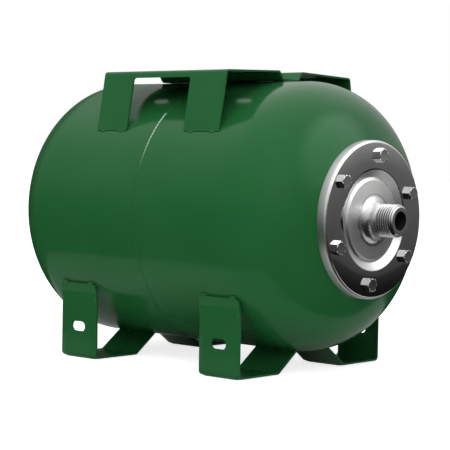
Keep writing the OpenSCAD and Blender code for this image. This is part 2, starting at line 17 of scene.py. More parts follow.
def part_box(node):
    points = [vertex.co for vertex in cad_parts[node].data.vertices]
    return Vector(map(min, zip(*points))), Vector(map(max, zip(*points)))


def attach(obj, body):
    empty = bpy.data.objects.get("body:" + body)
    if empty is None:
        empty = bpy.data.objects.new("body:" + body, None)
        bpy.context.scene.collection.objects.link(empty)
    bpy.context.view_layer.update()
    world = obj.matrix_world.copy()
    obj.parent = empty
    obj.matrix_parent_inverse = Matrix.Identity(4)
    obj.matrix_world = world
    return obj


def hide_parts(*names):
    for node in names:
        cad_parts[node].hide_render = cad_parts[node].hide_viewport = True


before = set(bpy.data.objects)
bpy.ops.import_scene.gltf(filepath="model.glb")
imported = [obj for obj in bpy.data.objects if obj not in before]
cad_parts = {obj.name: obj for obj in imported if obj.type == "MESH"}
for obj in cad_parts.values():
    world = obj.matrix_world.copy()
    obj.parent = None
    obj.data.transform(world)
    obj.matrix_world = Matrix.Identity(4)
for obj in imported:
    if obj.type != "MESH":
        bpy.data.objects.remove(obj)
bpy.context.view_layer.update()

# %% [markdown]
# ## Sizes
# All sizes are in millimetres and repeat the CAD model. The axis of the tank runs along X, and
# X is counted from the face of the flange. One function moves each finished mesh to its place
# and turns it to metres.

# %% Sizes that several pieces share
MM = 0.001
SHELL_R = 140.0
AXIS_Z = 160.4
NIPPLE_END = 32.0
FACE_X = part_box("nipple")[1][0] / MM - NIPPLE_END
FRONT_CROWN = -210.03
FRONT_TANGENT = -86.03
REAR_TANGENT = -341.53
REAR_APEX = -431.1
SEAM_X = -202.03
SEAT_X = -6.0
SEAT_D = 153.0
FIT = 0.3
TURN_STEPS = 192
print("flange face at X =", round(FACE_X, 2), "mm")

# %% [markdown]
# ## Flat geometry with complex numbers
# A point in a plane is one complex number, so a turn is a product and a step is a sum. These
# few functions draw every section: a path, the same path moved sideways by the thickness of the
# sheet, and its corners rounded with as many points on each side.

# %% Paths in a plane
def unit(v):
    return v / abs(v)


def dot(a, b):
    return (a.conjugate() * b).real


def cross(a, b):
    return (a.conjugate() * b).imag


def moved(path, d):
    """The path moved to its right by d."""
    out = []
    for i, p in enumerate(path):
        j, k = max(i, 1), min(i, len(path) - 2)
        a = -1j * unit(path[j] - path[j - 1])
        b = -1j * unit(path[k + 1] - path[k])
        out.append(p + d * (a + b) / (1 + dot(a, b)))
    return out


def corner(before, p, after, r, steps):
    """Points of the arc that rounds p."""
    u, v = unit(before - p), unit(after - p)
    half = math.acos(dot(u, v)) / 2
    centre = p + unit(u + v) * r / math.sin(half)
    start = p + u * r / math.tan(half) - centre
    sweep = math.copysign(math.pi - 2 * half, cross(p - before, after - p))
    return [centre + start * cmath.exp(1j * sweep * k / steps) for k in range(steps + 1)]


def bent(path, radii, d=0.0, steps=8, tight=0.35):
    """The path moved by d, each corner rounded. Returns a list of points for each path point."""
    way = moved(path, d)
    out = [[way[0]]]
    for i in range(1, len(path) - 1):
        side = math.copysign(1, cross(path[i] - path[i - 1], path[i + 1] - path[i]))
        r = max(radii[i] + side * d, tight)
        out.append(corner(way[i - 1], way[i], way[i + 1], r, steps))
    return out + [[way[-1]]]


def spread(a, b, n):
    """The n points between a and b, without either."""
    return [a + (b - a) * k / (n + 1) for k in range(1, n + 1)]


def arc(centre, r, a, b, steps):
    """Points on a circle from angle a to angle b, in degrees."""
    angles = [math.radians(a + (b - a) * k / steps) for k in range(steps + 1)]
    return [centre + cmath.rect(r, angle) for angle in angles]


def to_shell(p, way, r=SHELL_R):
    """Where a line from p first meets the shell, in a section across the tank."""
    along = dot(way, p)
    return p + way * (-along - math.sqrt(along**2 - abs(p) ** 2 + r * r))


print("height of the shell 50 mm from its middle:", round(to_shell(50 + 200j, -1j).imag, 2), "mm")

# %% [markdown]
# ## Node trees from expressions
# A finish is arithmetic on masks, so a socket that knows plus and times makes it readable. The
# same class serves Geometry Nodes, which share the Math node. Every other node comes from one
# function that takes its type, its settings and what goes into its sockets, and gives back one
# of its outputs, or the node itself.

# %% A socket that can be used in a sum, and the one function that adds a node
class Wire:
    def __init__(self, tree, socket):
        self.tree, self.socket = tree, socket

    def calc(self, operation, *others):
        return maths(self.tree, operation, self, *others)

    def __add__(self, other):
        return self.calc("ADD", other)

    def __sub__(self, other):
        return self.calc("SUBTRACT", other)

    def __rsub__(self, other):
        return maths(self.tree, "SUBTRACT", other, self)

    def __mul__(self, other):
        return self.calc("MULTIPLY", other)

    def __truediv__(self, other):
        return self.calc("DIVIDE", other)

    def __rtruediv__(self, other):
        return maths(self.tree, "DIVIDE", other, self)

    __radd__, __rmul__ = __add__, __mul__


def maths(tree, operation, *values):
    return node(tree, "ShaderNodeMath", {"operation": operation}, dict(enumerate(values)))


def node(tree, kind, settings=None, inputs=None, out=0):
    made = tree.nodes.new(kind)
    for key, value in (settings or {}).items():
        if key == "stops":
            ramp = made.color_ramp
            while len(ramp.elements) < len(value):
                ramp.elements.new(0.5)
            for element, (place, colour) in zip(ramp.elements, value):
                element.position, element.color = place, colour
        else:
            setattr(made, key, value)
    for key, value in (inputs or {}).items():
        if isinstance(value, Wire):
            tree.links.new(value.socket, made.inputs[key])
        else:
            made.inputs[key].default_value = value
    return made if out is None else Wire(tree, made.outputs[out])


print("a wire can be added, taken away, multiplied and divided")

# %% Short names for the nodes that come back most
def parts(tree, vector):
    """The three numbers of a vector."""
    split = node(tree, "ShaderNodeSeparateXYZ", {}, {"Vector": vector}, None)
    return [Wire(tree, out) for out in split.outputs]


def mix(tree, factor, a, b):
    """A colour that goes from a to b."""
    sockets = {0: factor, 6: a, 7: b}
    return node(tree, "ShaderNodeMix", {"data_type": "RGBA"}, sockets, 2)


def noise(tree, where, scale, detail=3.0, rough=0.5):
    sockets = {"Vector": where, "Scale": scale, "Detail": detail, "Roughness": rough}
    return node(tree, "ShaderNodeTexNoise", {}, sockets)


def ramp(tree, value, low, high):
    """0 below low, 1 above high, soft between."""
    sockets = {"Value": value, "From Min": low, "From Max": high}
    return node(tree, "ShaderNodeMapRange", {"interpolation_type": "SMOOTHSTEP"}, sockets)


def empty_tree(owner):
    """The tree of a material or a world, with nothing in it yet."""
    owner.use_nodes = True
    owner.node_tree.nodes.clear()
    return owner.node_tree


def finish(name, build):
    """A material: build gets its tree and Object coordinates and returns the shader's inputs."""
    material = bpy.data.materials.new(name)
    tree = empty_tree(material)
    where = node(tree, "ShaderNodeTexCoord", out="Object")
    shader = node(tree, "ShaderNodeBsdfPrincipled", {}, build(tree, where))
    node(tree, "ShaderNodeOutputMaterial", {}, {"Surface": shader}, None)
    print("finish", name, "with", len(tree.nodes), "nodes")
    return material


def relief(tree, height, distance):
    """A bump of that height, in metres."""
    sockets = {"Height": height, "Distance": distance, "Strength": 1.0}
    return node(tree, "ShaderNodeBump", {}, sockets)


print("helpers for finishes ready")

# %% [markdown]
# ## Paint
# The steel is powder coated dark green. Powder flows out to a gloss that is not quite flat: a
# slight orange peel about 2 mm across softens what it mirrors. Dust and handling make it a
# little paler and duller in soft clouds. The coat mirrors weakly and with a green tint, which
# keeps its edges from going grey.

# %% Green powder coat
GREEN = (0.012, 0.095, 0.0255, 1)
GREEN_DUSTY = (0.018, 0.105, 0.033, 1)


def powder_coat(tree, where):
    clouds = ramp(tree, noise(tree, where, 9.0), 0.35, 0.75)
    specks = ramp(tree, noise(tree, where, 900.0, 1.0), 0.68, 0.75)
    peel = noise(tree, where, 420.0, 2.0)
    return {
        "Base Color": mix(tree, clouds * 0.5 + specks * 0.25, GREEN, GREEN_DUSTY),
        "Roughness": 0.14 + clouds * 0.05 + specks * 0.1,
        "Specular Tint": (0.5, 1.0, 0.65, 1),
        "Specular IOR Level": 0.25,
        "Normal": relief(tree, peel, 0.00006),
    }


green_paint = finish("green_powder_coat", powder_coat)

# %% [markdown]
# ## Metals, rubber and plastic
# Plated steel shows how it was worked. Fine lines run the way it was rolled or turned, and faint
# clouds lie where the plating is thicker. One function gives every plain metal its colour, lines
# and clouds. Bare steel and brass, which hide inside and under the cap, need no more.

# %% A metal with clouds and fine lines
def metal(colour, dark, rough, line_scale, depth):
    def build(tree, where):
        clouds = ramp(tree, noise(tree, where, 22.0, 4.0, 0.6), 0.35, 0.7)
        stretch = node(tree, "ShaderNodeMapping", {}, {"Vector": where, "Scale": line_scale})
        lines = noise(tree, stretch, 1.0, 2.0)
        return {
            "Base Color": mix(tree, clouds * 0.6, colour, dark),
            "Metallic": 1.0,
            "Roughness": rough + clouds * 0.07 + lines * 0.06,
            "Normal": relief(tree, lines, depth),
        }
    return build


raw_steel = finish("raw_steel", metal((0.36, 0.35, 0.34, 1), (0.2, 0.18, 0.16, 1), 0.42,
                                      (500, 500, 500), 0.00001))
brass = finish("brass", metal((0.78, 0.57, 0.25, 1), (0.6, 0.42, 0.18, 1), 0.25,
                              (2500, 200, 200), 0.000005))

# %% [markdown]
# The flange is a mirror where it stayed flat and satin where the press stretched it, on the dome
# and round the rim. The nipple is bright on its crests, and its grooves and its bore are painted
# dark as shade. Both are round, so the distance from the axis says where each finish begins.

# %% Zinc on the flange, the nipple and the bolts
ZINC = (0.72, 0.72, 0.71, 1)
ZINC_DARK = (0.5, 0.51, 0.52, 1)


def axis_distance(tree, where):
    """Distance from the axis of the tank, in metres."""
    _, across, up = parts(tree, where)
    up = up - AXIS_Z * MM
    return (across * across + up * up).calc("SQRT")


def stamped_zinc(tree, where):
    radius = axis_distance(tree, where)
    dome = 1 - ramp(tree, radius, 0.0495, 0.0515)
    rim = ramp(tree, radius, 0.0772, 0.0795)
    clouds = ramp(tree, noise(tree, where, 22.0, 4.0, 0.6), 0.35, 0.7)
    grain = noise(tree, where, 1400.0, 3.0, 0.7)
    return {
        "Base Color": mix(tree, clouds * 0.4, ZINC, ZINC_DARK),
        "Metallic": 1.0,
        "Roughness": 0.04 + dome * 0.31 + rim * 0.34 + clouds * 0.02,
        "Normal": relief(tree, grain * (0.1 + dome), 0.00003),
    }


zinc_sheet = finish("zinc_sheet", stamped_zinc)


def nipple_zinc(tree, where):
    looks = metal(ZINC, ZINC_DARK, 0.2, (3500, 120, 120), 0.000006)(tree, where)
    radius = axis_distance(tree, where)
    outside = ramp(tree, radius, 0.0098, 0.0105)
    thread = ramp(tree, radius, 0.0152, 0.0161)
    mouth = 1 - ramp(tree, radius, 0.0136, 0.0140)
    crest = thread + 1 - ramp(tree, radius, 0.0149, 0.0151)
    # Painted shade: the grooves of the thread are coloured dark and the bore nearly black.
    painted_groove_shade = mix(tree, crest, (0.12, 0.12, 0.12, 1), looks["Base Color"])
    looks["Base Color"] = mix(tree, outside, (0.07, 0.07, 0.07, 1), painted_groove_shade)
    looks["Roughness"] = looks["Roughness"] - mouth * 0.07 + (1 - outside) * 0.35
    return looks


zinc_turned = finish("zinc_turned", nipple_zinc)
zinc_bolt = finish("zinc_bolt", metal(ZINC, ZINC_DARK, 0.1, (700, 700, 700), 0.000004))

# %% [markdown]
# Rubber and moulded plastic are nearly black, with a fine grain that scatters light.

# %% Rubber and plastic
def dull_black(grain, rough):
    def build(tree, where):
        fine = noise(tree, where, grain, 3.0)
        clouds = noise(tree, where, 30.0, 2.0)
        return {
            "Base Color": mix(tree, clouds, (0.012, 0.012, 0.013, 1), (0.03, 0.03, 0.031, 1)),
            "Roughness": rough + fine * 0.15,
            "Normal": relief(tree, fine, 0.00002),
        }
    return build


rubber = finish("rubber", dull_black(600.0, 0.6))
black_plastic = finish("black_plastic", dull_black(1500.0, 0.35))

# %% [markdown]
# ## From sections to pieces
# A turned part is its closed section carried round the axis. A folded part is two grids of
# points, one for each face of the sheet, joined along every free edge. Both give closed solids,
# so the normals can be set from the shape itself.

# %% Making a piece and putting it in place
def add_piece(name, bm, material, cad_node, sharp=32):
    """Turns a bmesh in millimetres from the flange face into a finished piece."""
    bmesh.ops.remove_doubles(bm, verts=bm.verts, dist=0.0005)
    bmesh.ops.recalc_face_normals(bm, faces=bm.faces)
    bm.transform(Matrix.Scale(MM, 4) @ Matrix.Translation((FACE_X, 0, AXIS_Z)))
    mesh = to_mesh(name, bm)
    mesh.materials.append(material)
    mesh.polygons.foreach_set("use_smooth", [True] * len(mesh.polygons))
    mesh.set_sharp_from_angle(angle=math.radians(sharp))
    piece = bpy.data.objects.new(name, mesh)
    bpy.context.collection.objects.link(piece)
    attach(piece, "root")
    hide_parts(cad_node)
    print(name, len(mesh.polygons), "faces")


def to_mesh(name, bm):
    mesh = bpy.data.meshes.new(name)
    bm.to_mesh(mesh)
    bm.free()
    return mesh


# %% Turning a section
def turn_section(bm, section, steps=TURN_STEPS, closed=True):
    """Carries a section, radius + X * 1j, round the axis of the tank."""
    rings = []
    for p in section:
        ring = [cmath.rect(p.real, math.tau * k / steps) for k in range(steps)]
        rings.append([bm.verts.new((p.imag, q.real, q.imag)) for q in ring])
    for a, b in zip(rings, rings[1:] + rings[:1] if closed else rings[1:]):
        for k in range(steps):
            n = (k + 1) % steps
            bm.faces.new((a[k], a[n], b[n], b[k]))


def turned(name, section, material, cad_node, sharp):
    bm = bmesh.new()
    turn_section(bm, section)
    add_piece(name, bm, material, cad_node, sharp)


print("a full turn has", TURN_STEPS, "steps")

# %% [markdown]
# ## The shell
# Each half is deep drawn from one disc: a straight skirt, a knuckle and a flatter crown. The
# front half has a flat seat pressed up for the flange. Turning an arc from its true centre gives
# a face that mirrors the room without ripples.

# %% The two halves
WALL = 1.5
KNUCKLE_F, CROWN_F = 75.0, 215.0
KNUCKLE_R, CROWN_R = 60.0, 183.0
OPENING_R, VALVE_HOLE_R = 52.0, 10.2


def dome(tangent, knuckle, crown, side, inset):
    """Knuckle and crown from the tangent line on, as radius + X * 1j."""
    crown_x = tangent - side * math.sqrt((crown - knuckle) ** 2 - (SHELL_R - knuckle) ** 2)
    centre = complex(SHELL_R - knuckle, tangent)
    join = math.degrees(cmath.phase(centre - 1j * crown_x)) * side
    bend = arc(centre, knuckle - inset, 0, side * join, 24)
    return bend + arc(1j * crown_x, crown - inset, side * join, side * 90, 72)[1:]


def front_side(inset):
    """Outer or inner face of the front half, from the seam to the opening."""
    shape = dome(FRONT_TANGENT, KNUCKLE_F, CROWN_F, 1, inset)
    seat_r = SEAT_D / 2 - inset
    shape = [p for p in shape if p.real > seat_r + 0.4]
    foot = CROWN_F - inset
    rise = 1j * (FRONT_CROWN + math.sqrt(foot**2 - seat_r**2)) + seat_r
    seat = [rise, complex(seat_r, SEAT_X - inset), complex(OPENING_R, SEAT_X - inset)]
    edge = [seat[0]] + corner(seat[0], seat[1], seat[2], 0.8, 4) + [seat[2]]
    return [complex(SHELL_R - inset, SEAM_X)] + shape + edge


def rear_side(inset):
    shape = dome(REAR_TANGENT, KNUCKLE_R, CROWN_R, -1, inset)
    return [complex(SHELL_R - inset, SEAM_X)] + [p for p in shape if p.real > VALVE_HOLE_R]


turned("shell_front_half", front_side(0) + front_side(WALL)[::-1],
       green_paint, "shell_front", 40)
turned("shell_rear_half", rear_side(0) + rear_side(WALL)[::-1],
       green_paint, "shell_rear", 40)

# %% [markdown]
# ## The flange
# The flange is stamped from sheet: a rim turned back to the shell, a flat face for the bolts, a
# step down, a groove, and a shallow dome that carries the nipple. Its section is the sheet's
# front path and the same path moved by the thickness.

# %% Flange plate
FLANGE_D, FLANGE_T = 160.0, 2.5
SHANK_R = 14.4
DOME_RISE = 0.5
flange_path = [complex(SHANK_R + 0.2, DOME_RISE), complex(40.5, -2.2), complex(42.9, -4.4),
               complex(51.3, 0), complex(FLANGE_D / 2, 0), complex(FLANGE_D / 2, -18)]
FLANGE_RADII = [0, 3, 0.8, 3, 2.8, 0]


def rim_end(r):
    """X where the rim stops just above the crown."""
    return FRONT_CROWN + math.sqrt((CROWN_F + FIT) ** 2 - r * r)


def flange_side(d):
    way = [p for part in bent(flange_path, FLANGE_RADII, d, 10) for p in part]
    return way[:-1] + [complex(way[-1].real, rim_end(way[-1].real))]


turned("flange", flange_side(0) + flange_side(FLANGE_T)[::-1],
       zinc_sheet, "flange_plate", 50)

# %% [markdown]
# ## Geometry Nodes in a script
# One helper starts a tree with named inputs, one ends it, and one puts it on a mesh, sets those
# inputs by the sockets' identifiers and takes the result as a plain mesh. Most forms here are a
# flat grid wound round the axis, so that has its helpers too.

# %% Starting a tree and using it
def new_tree(name, **sizes):
    tree = bpy.data.node_groups.new(name, "GeometryNodeTree")
    face = tree.interface
    face.new_socket("Geometry", in_out="INPUT", socket_type="NodeSocketGeometry")
    face.new_socket("Geometry", in_out="OUTPUT", socket_type="NodeSocketGeometry")
    for key, value in sizes.items():
        kind = "NodeSocketInt" if isinstance(value, int) else "NodeSocketFloat"
        face.new_socket(key, in_out="INPUT", socket_type=kind)
    start = node(tree, "NodeGroupInput", out=None)
    return tree, {s.name: Wire(tree, s) for s in start.outputs if s.name}


def end_tree(tree, geometry, material):
    real = node(tree, "GeometryNodeRealizeInstances", {}, {"Geometry": geometry})
    done = node(tree, "GeometryNodeSetMaterial", {}, {"Geometry": real, "Material": material})
    node(tree, "NodeGroupOutput", {}, {0: done}, None)


def grown(name, mesh, tree, **sizes):
    """The plain mesh that a tree makes from a mesh."""
    carrier = bpy.data.objects.new(name, mesh)
    bpy.context.collection.objects.link(carrier)
    modifier = carrier.modifiers.new(name, "NODES")
    modifier.node_group = tree
    for item in tree.interface.items_tree:
        if item.in_out == "INPUT" and item.name in sizes:
            modifier[item.identifier] = sizes[item.name]
    carrier.update_tag()
    deps = bpy.context.evaluated_depsgraph_get()
    result = bpy.data.meshes.new_from_object(carrier.evaluated_get(deps))
    carrier.modifiers.clear()
    bpy.data.objects.remove(carrier)
    return result


def from_mesh(mesh):
    bm = bmesh.new()
    bm.from_mesh(mesh)
    return bm


def flat_grid(tree, columns, rows):
    """A grid, and where each point lies on it: 0 to 1 across and -0.5 to 0.5 up."""
    grid = node(tree, "GeometryNodeMeshGrid", {}, {
        "Size X": 1.0, "Size Y": 1.0, "Vertices X": columns, "Vertices Y": rows})
    across, up, _ = parts(tree, node(tree, "GeometryNodeInputPosition"))
    return grid, across + 0.5, up


def round_axis(tree, way, radius, angle):
    """A place at way along X, and at that radius and angle round it."""
    return node(tree, "ShaderNodeCombineXYZ", {}, {
        0: way, 1: radius * angle.calc("COSINE"), 2: radius * angle.calc("SINE")})


def placed(tree, geometry, place):
    sockets = {"Geometry": geometry, "Position": place}
    return node(tree, "GeometryNodeSetPosition", {}, sockets)


print("helpers for trees ready")

# %% [markdown]
# ## The nipple and its thread
# The nipple is turned from bar: a foot that flows into the flange, a plain root and a 1 inch
# pipe thread. Its length shows seven or eight crests, 2.75 mm apart. A screw surface is a strip
# wound round the axis, so the tree bends a grid: one way runs round, the other along. Each row
# keeps its place in the thread's profile, which leaves the crests clean, and the chamfer at the
# mouth cuts them off.

# %% A tree for the thread
THREAD = {"Radius": 16.6, "Pitch": 2.75, "Depth": 1.5, "Start": 10.6,
          "End": NIPPLE_END, "Chamfer": 2.8}
THREAD_TURNS, ROWS = 9, 16
NIPPLE_STEPS = 96


def thread_tree():
    tree, size = new_tree("pipe_thread", **THREAD)
    grid, around, up = flat_grid(tree, NIPPLE_STEPS + 1, THREAD_TURNS * ROWS + 1)
    turns = (up + 0.5) * THREAD_TURNS
    way = size["Start"] + (turns + around - 1) * size["Pitch"]
    way = way.calc("MINIMUM", size["End"]).calc("MAXIMUM", size["Start"])
    wave = (turns * math.tau).calc("COSINE") * 0.68 + 0.5
    wave = wave.calc("MINIMUM", 1.0).calc("MAXIMUM", 0.0)
    fade = ramp(tree, way - size["Start"], 0.0, 2.5)
    radius = size["Radius"] - wave * fade * size["Depth"]
    radius = radius.calc("MINIMUM", size["Radius"] - size["Chamfer"] + size["End"] - way)
    screw = placed(tree, grid, round_axis(tree, way, radius, around * math.tau))
    both = node(tree, "GeometryNodeJoinGeometry", {}, {"Geometry": screw}, None)
    tree.links.new(size["Geometry"].socket, both.inputs[0])
    whole = node(tree, "GeometryNodeMergeByDistance", {}, {
        "Geometry": Wire(tree, both.outputs[0]), "Distance": 0.004})
    end_tree(tree, whole, zinc_turned)
    print("thread:", THREAD_TURNS, "turns of", ROWS, "rows")
    return tree


# %% The nipple's plain part, and the thread grown onto it
FILLET, FOOT_RISE, BORE_R, CREST_R = 9.5, 0.05, 9.6, THREAD["Radius"]
TOE_R = CREST_R + FILLET + 0.5


def on_dome(r):
    """The dome of the flange at radius r, as radius + X * 1j."""
    top, low = flange_path[:2]
    return complex(r, top.imag + (low - top).imag / (low - top).real * (r - top.real))


# The foot leaves the dome of the flange as an arc that touches it
rise = FOOT_RISE * 1j
foot = corner(on_dome(TOE_R) + rise, on_dome(CREST_R) + rise, complex(CREST_R, NIPPLE_END),
              FILLET, 20)
foot = [on_dome(TOE_R) - 0.3j, on_dome(TOE_R) + rise] + [p for p in foot if p.real < TOE_R]
plain = ([complex(CREST_R, THREAD["Start"])] + foot[::-1]
         + [complex(SHANK_R, DOME_RISE), complex(SHANK_R, -8), complex(BORE_R, -8),
            complex(BORE_R, NIPPLE_END - 0.4), complex(BORE_R + 0.4, NIPPLE_END),
            complex(CREST_R - THREAD["Chamfer"], NIPPLE_END)])
bm = bmesh.new()
turn_section(bm, plain, NIPPLE_STEPS, closed=False)
screw = grown("nipple_screw", to_mesh("nipple_plain", bm), thread_tree(), **THREAD)
add_piece("threaded_nipple", from_mesh(screw), zinc_turned, "nipple", sharp=42)

# %% [markdown]
# ## The bolts
# Six hexagon bolts hold the flange. One head is drawn as rings: where the chamfer's cone meets
# the flat sides it leaves the curved edge that a real bolt has. The tree then sets the bolt on
# the points of a circle, and turns two of them, because no two are tightened to the same angle.

# %% One bolt
HEAD_AF, HEAD_H, BOLT_R, BOLT_L = 13.0, 5.3, 4.0, 20.0


def hexagon(af, soft=0.45):
    """A hexagon with slightly rounded corners."""
    ends = [cmath.rect(af / 2 / math.cos(math.pi / 6), math.pi / 3 * k) for k in range(6)]
    rounds = [corner(ends[k - 1], ends[k], ends[(k + 1) % 6], soft, 4) for k in range(6)]
    out = []
    for k in range(6):
        out += rounds[k] + spread(rounds[k][-1], rounds[(k + 1) % 6][0], 6)
    return out


def loft(bm, rings):
    """Joins closed rings of points with faces, and closes both ends."""
    rows = [[bm.verts.new(p) for p in ring] for ring in rings]
    for a, b in zip(rows, rows[1:]):
        for k in range(len(a)):
            bm.faces.new((a[k - 1], a[k], b[k], b[k - 1]))
    bm.faces.new(rows[0])
    bm.faces.new(rows[-1])


def bolt():
    """Rings from the end of the shank to the middle of the head, joined."""
    outline = hexagon(HEAD_AF)
    top_r = HEAD_AF / 2 - 0.2

    def ring(z, radius=None):
        way = outline if radius is None else [unit(p) * radius for p in outline]
        return [(z, p.real, p.imag) for p in way]

    def chamfer(p):
        return HEAD_H - max(0.0, abs(p) - top_r) * math.tan(math.radians(30))

    edge = [(chamfer(p), p.real, p.imag) for p in outline]
    rim = [(min(HEAD_H, chamfer(p) + 0.05), unit(p).real * min(abs(p), top_r),
            unit(p).imag * min(abs(p), top_r)) for p in outline]
    bm = bmesh.new()
    loft(bm, [ring(-BOLT_L, BOLT_R), ring(0, BOLT_R), ring(0), edge, rim,
              ring(HEAD_H, top_r - 0.25), ring(HEAD_H - 0.05, top_r - 1.2)])
    print("bolt:", len(outline), "points round its head")
    return to_mesh("bolt", bm)


# %% A tree that sets it on the bolt circle
BOLTS = {"Count": 6, "Circle": 65.3, "First": math.radians(23.7), "Turn": math.pi / 6}


def bolt_tree():
    """The bolt on its circle. Of the first four, every second one is turned."""
    tree, size = new_tree("bolt_circle", **BOLTS)
    points = node(tree, "GeometryNodePoints", {}, {"Count": size["Count"]})
    index = node(tree, "GeometryNodeInputIndex")
    angle = size["First"] + index * math.tau / size["Count"]
    ring = placed(tree, points, round_axis(tree, 0.0, size["Circle"], angle))
    odd = index.calc("MODULO", 2.0) * index.calc("LESS_THAN", 4.0)
    turn = node(tree, "ShaderNodeCombineXYZ", {}, {0: odd * size["Turn"], 1: 0.0, 2: 0.0})
    sets = node(tree, "GeometryNodeInstanceOnPoints", {}, {
        "Points": ring, "Instance": size["Geometry"], "Rotation": turn})
    end_tree(tree, sets, zinc_bolt)
    return tree


add_piece("flange_bolt_set", from_mesh(grown("bolts", bolt(), bolt_tree(), **BOLTS)),
          zinc_bolt, "flange_bolts", sharp=25)

# %% [markdown]
# ## Folded sheets
# A foot or a platform is a sheet of one thickness. The outer face is a grid of points, and the
# inner face is the same grid moved by the thickness. Cells may be left out, and a hole is a ring
# of faces between a block of cells and its rim. Each free edge gets a wall.

# %% A solid from two grids
def sheet_solid(bm, outer, inner, keep=lambda i, j: True, holes=()):
    """outer and inner are rows of points. A hole is (rows, columns, nearest point on its rim)."""
    faces = [[[bm.verts.new(p) for p in row] for row in grid] for grid in (outer, inner)]
    cut = {(i, j) for rows, columns, _ in holes for i in rows for j in columns}
    cells = [(i, j) for i in range(len(outer) - 1) for j in range(len(outer[0]) - 1)
             if keep(i, j) and (i, j) not in cut]
    sides = {}
    for i, j in cells:
        loop = [(i, j), (i, j + 1), (i + 1, j + 1), (i + 1, j)]
        for grid in faces:
            bm.faces.new([grid[a][b] for a, b in loop])
        for a, b in zip(loop, loop[1:] + loop[:1]):
            sides[frozenset((a, b))] = sides.get(frozenset((a, b)), 0) + 1
    ring_edges = set()
    for rows, columns, nearest in holes:
        i0, i1, j0, j1 = rows[0], rows[-1] + 1, columns[0], columns[-1] + 1
        loop = ([(i0, j) for j in range(j0, j1)] + [(i, j1) for i in range(i0, i1)]
                + [(i1, j) for j in range(j1, j0, -1)] + [(i, j0) for i in range(i1, i0, -1)])
        ring_edges |= {frozenset(pair) for pair in zip(loop, loop[1:] + loop[:1])}
        rims = []
        for grid, points in zip(faces, (outer, inner)):
            rim = [bm.verts.new(nearest(points[a][b])) for a, b in loop]
            for k in range(len(loop)):
                a, b = loop[k - 1], loop[k]
                bm.faces.new((grid[a[0]][a[1]], grid[b[0]][b[1]], rim[k], rim[k - 1]))
            rims.append(rim)
        for k in range(len(loop)):
            bm.faces.new((rims[0][k - 1], rims[0][k], rims[1][k], rims[1][k - 1]))
    for side, count in sides.items():
        if count == 1 and side not in ring_edges:
            (a, b), (c, d) = side
            bm.faces.new((faces[0][a][b], faces[0][c][d], faces[1][c][d], faces[1][a][b]))


def slot_rim(centre, half_l, half_w, r, axes, tilt=0.0):
    """Nearest point on the rim of a slot. axes are the two directions that it lies in."""
    def nearest(p):
        q = list(p)
        u, v = (q[a] - c for a, c in zip(axes, centre))
        core = complex(max(-half_l + r, min(half_l - r, u)), max(-half_w + r, min(half_w - r, v)))
        rim = core + unit(complex(u, v) - core) * r
        q[3 - sum(axes)] += tilt * (rim.imag - v)
        q[axes[0]], q[axes[1]] = centre[0] + rim.real, centre[1] + rim.imag
        return tuple(q)
    return nearest


print("helpers for folded sheets ready")

# %% [markdown]
# ## The feet
# Each foot is one strip: a lip that lies on the shell, an upright plate, a sole and a brace that
# runs back up to the shell. Both long edges are folded in, which stiffens it, and the folds fade
# out under the lip. The depth of the fold moves the section inwards before it is drawn.

# %% Section and folded edges of a foot
FOOT_T, OUTSIDE, SOLE = 2.0, 116.0, 63.0
HALF_W, FLAT, CREASE, CREASE_SOFT = 27.0, 20.0, math.radians(9), 0.8
LIP_TOP, LIP_ROOT = complex(116.4, -78.33), complex(OUTSIDE - FOOT_T, -88.73)
LIP_CORNER = 6.0
BRACE = cmath.rect(1, math.pi - math.radians(36.5))
lip_out = moved([LIP_TOP, LIP_ROOT, LIP_ROOT - 6j], -FOOT_T)
FADE_Z = LIP_ROOT.imag - 6.0
FOOT_SLOT_Z = 34.6 - AXIS_Z
FOOT_SLOT = {"half_l": 10, "half_w": 5.2, "r": 5.0}
foot_bottom = [complex(OUTSIDE, -120), complex(OUTSIDE, -AXIS_Z),
               complex(OUTSIDE - SOLE, -AXIS_Z), complex(OUTSIDE - SOLE, -AXIS_Z) + 60 * BRACE]


def fold_depth(x, inset):
    """How far the folded edge lies behind the face, for a face moved in by inset."""
    e = abs(x) - FLAT + inset * math.tan(CREASE / 2)
    soft = CREASE_SOFT
    ease = 0.0 if e < -soft else e if e > soft else (e + soft) ** 2 / (4 * soft)
    return inset + ease * math.tan(CREASE)


def foot_column(x, inset):
    """Points from the lip down the plate, along the sole and up the brace."""
    deep = fold_depth(x, inset)
    lip = bent(lip_out, [0, 6, 0], inset)
    overhang = max(0.0, abs(x) - HALF_W + LIP_CORNER)
    drop = LIP_CORNER - math.sqrt(LIP_CORNER**2 - overhang**2)
    top = lip[0][0] + (lip[1][0] - lip[0][0]) * drop / abs(lip[1][0] - lip[0][0])
    points = [top] + spread(top, lip[1][0], 2) + lip[1]
    start = points[-1].imag
    for z in plate_rows:
        z = min(z, start - 0.3)
        fade = inset / math.cos(math.pi / 6) + (FADE_Z - z) * math.tan(math.pi / 6)
        points.append(complex(OUTSIDE - min(deep, max(inset, fade)), z))
    _, heel, toe, _ = bent(foot_bottom, [0, 6, 6, 0], deep)
    end = to_shell(toe[-1], BRACE)
    return (points + heel + spread(heel[-1], toe[0], 5) + toe
            + spread(toe[-1], end, 9) + [end])


above_slot = [-94.9, -96, -97.2, -98.5, -100, -101.6, -104.5, -109]
beside_slot = [FOOT_SLOT_Z + 9.5 - 19 * k / 8 for k in range(9)]
plate_rows = above_slot + beside_slot + [-140, -147, -153.4]
edge_columns = [HALF_W, 26.2, 24.6, 23, 22, 21.4, 20.9, 20.4, 19.9, 19.4, 18.9, 18.4, 17]
foot_columns = [-x for x in edge_columns] + [-14 + 2.8 * k for k in range(11)] + edge_columns[::-1]
print("foot:", len(foot_columns), "columns,", len(foot_column(0, 0)), "rows")

# %% Four feet
FOOT_X = {"flange": -103.2, "valve": -307.2}
FOOT_Y = {"left": 1, "right": -1}


